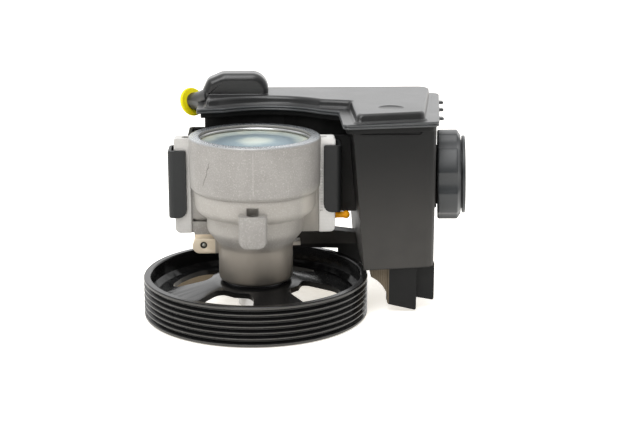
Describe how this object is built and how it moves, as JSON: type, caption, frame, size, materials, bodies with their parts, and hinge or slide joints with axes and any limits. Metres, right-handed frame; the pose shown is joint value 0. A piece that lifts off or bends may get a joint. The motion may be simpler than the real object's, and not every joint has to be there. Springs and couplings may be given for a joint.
{
  "type": "power steering pump",
  "caption": "Vane pump with a ribbed belt pulley, a cast housing with clipped wings, and a moulded fluid reservoir with a side filler cap.",
  "frame": {"origin": "on the shaft's axis, at the pulley's lower face", "axes": "+Z along the shaft from the pulley up to the end cover, +X towards the reservoir and its cap, -Y the front"},
  "size_m": [0.2024, 0.163, 0.1365],
  "materials": {
    "housing_alloy": "as cast",
    "zinc_plate": "passivated zinc",
    "steel": "ground",
    "bronze": "sintered",
    "seal_rubber": "matt",
    "black_paint": "gloss",
    "clip_black": "phosphate black",
    "reservoir_plastic": "moulded",
    "cap_plastic": "moulded",
    "orange_plastic": "moulded",
    "yellow_plastic": "moulded"
  },
  "bodies": {
    "pump": {"pump_housing": "housing_alloy", "end_cover": "zinc_plate", "cover_retaining_ring": "steel", "cover_o_ring": "seal_rubber", "disc_spring": "steel", "pressure_plate": "steel", "cam_ring": "steel", "thrust_plate": "steel", "dowel_pins": "steel", "plain_bush": "bronze", "shaft_seal": "seal_rubber", "bearing_outer_race": "steel", "bearing_circlip": "steel", "valve_spring": "zinc_plate", "valve_plug": "zinc_plate", "clamp_clip_left": "clip_black", "clamp_clip_right": "clip_black", "reservoir_tank": "reservoir_plastic", "filler_neck": "reservoir_plastic", "reservoir_lid": "reservoir_plastic", "suction_o_ring": "seal_rubber", "suction_strainer": "bronze"},
    "rotor_group": {"rotor": "steel", "rotor_circlip": "steel", "drive_shaft": "steel", "bearing_inner_race": "steel", "pulley_hub": "steel", "pulley": "black_paint", "pulley_bolts": "zinc_plate"},
    "ball_set": {"bearing_balls": "steel", "bearing_cage": "bronze"},
    "vane_1": {"vane_1": "steel"},
    "vane_2": {"vane_2": "steel"},
    "vane_3": {"vane_3": "steel"},
    "vane_4": {"vane_4": "steel"},
    "vane_5": {"vane_5": "steel"},
    "vane_6": {"vane_6": "steel"},
    "vane_7": {"vane_7": "steel"},
    "vane_8": {"vane_8": "steel"},
    "vane_9": {"vane_9": "steel"},
    "vane_10": {"vane_10": "steel"},
    "flow_valve": {"valve_spool": "steel"},
    "cap_seal_ring": {"cap_seal": "seal_rubber"},
    "cap": {"filler_cap": "cap_plastic", "dipstick": "orange_plastic"},
    "return_plug": {"return_cap": "yellow_plastic"},
    "lock_pin": {"clip_lock_pin": "orange_plastic"}
  },
  "joints": [
    {"name": "pulley_spin", "type": "hinge", "parent": "pump", "child": "rotor_group", "pos_m": [0, 0, 0], "axis": [0, 0, 1], "continuous": true},
    {"name": "ball_spin", "type": "hinge", "parent": "pump", "child": "ball_set", "pos_m": [0, 0, 0], "axis": [0, 0, 1], "continuous": true},
    {"name": "vane_1_slide", "type": "slide", "parent": "rotor_group", "child": "vane_1", "axis": [1, 0, 0], "range_m": [-0.0018, 0]},
    {"name": "vane_2_slide", "type": "slide", "parent": "rotor_group", "child": "vane_2", "axis": [0.809, 0.5878, 0], "range_m": [-0.0018, 0]},
    {"name": "vane_3_slide", "type": "slide", "parent": "rotor_group", "child": "vane_3", "axis": [0.309, 0.9511, 0], "range_m": [-0.0018, 0]},
    {"name": "vane_4_slide", "type": "slide", "parent": "rotor_group", "child": "vane_4", "axis": [-0.309, 0.9511, 0], "range_m": [-0.0018, 0]},
    {"name": "vane_5_slide", "type": "slide", "parent": "rotor_group", "child": "vane_5", "axis": [-0.809, 0.5878, 0], "range_m": [-0.0018, 0]},
    {"name": "vane_6_slide", "type": "slide", "parent": "rotor_group", "child": "vane_6", "axis": [-1, 0, 0], "range_m": [-0.0018, 0]},
    {"name": "vane_7_slide", "type": "slide", "parent": "rotor_group", "child": "vane_7", "axis": [-0.809, -0.5878, 0], "range_m": [-0.0018, 0]},
    {"name": "vane_8_slide", "type": "slide", "parent": "rotor_group", "child": "vane_8", "axis": [-0.309, -0.9511, 0], "range_m": [-0.0018, 0]},
    {"name": "vane_9_slide", "type": "slide", "parent": "rotor_group", "child": "vane_9", "axis": [0.309, -0.9511, 0], "range_m": [-0.0018, 0]},
    {"name": "vane_10_slide", "type": "slide", "parent": "rotor_group", "child": "vane_10", "axis": [0.809, -0.5878, 0], "range_m": [-0.0018, 0]},
    {"name": "valve_slide", "type": "slide", "parent": "pump", "child": "flow_valve", "axis": [1, 0, 0], "range_m": [0, 0.006], "stiffness_N_per_m": 2500, "deforming": ["valve_spring"]},
    {"name": "cap_lift", "type": "slide", "parent": "pump", "child": "cap_seal_ring", "axis": [0.9922, -0.1218, 0.0262], "range_m": [0, 0.0101]},
    {"name": "cap_turn", "type": "hinge", "parent": "cap_seal_ring", "child": "cap", "pos_m": [0.1094, 0.034, 0.0765], "axis": [0.9922, -0.1218, 0.0262], "range_deg": [0, 900]},
    {"name": "return_cap_pull", "type": "slide", "parent": "pump", "child": "return_plug", "axis": [-0.6239, 0.7178, -0.309], "range_m": [0, 0.014]},
    {"name": "lock_pin_pull", "type": "slide", "parent": "pump", "child": "lock_pin", "axis": [1, 0, 0], "range_m": [0, 0.004]}
  ],
  "couplings": [
    {"joint": "ball_spin", "follows": "pulley_spin", "ratio": 0.384},
    {"joint": "cap_lift", "follows": "cap_turn", "m_per_rad": 0.00063662}
  ]
}
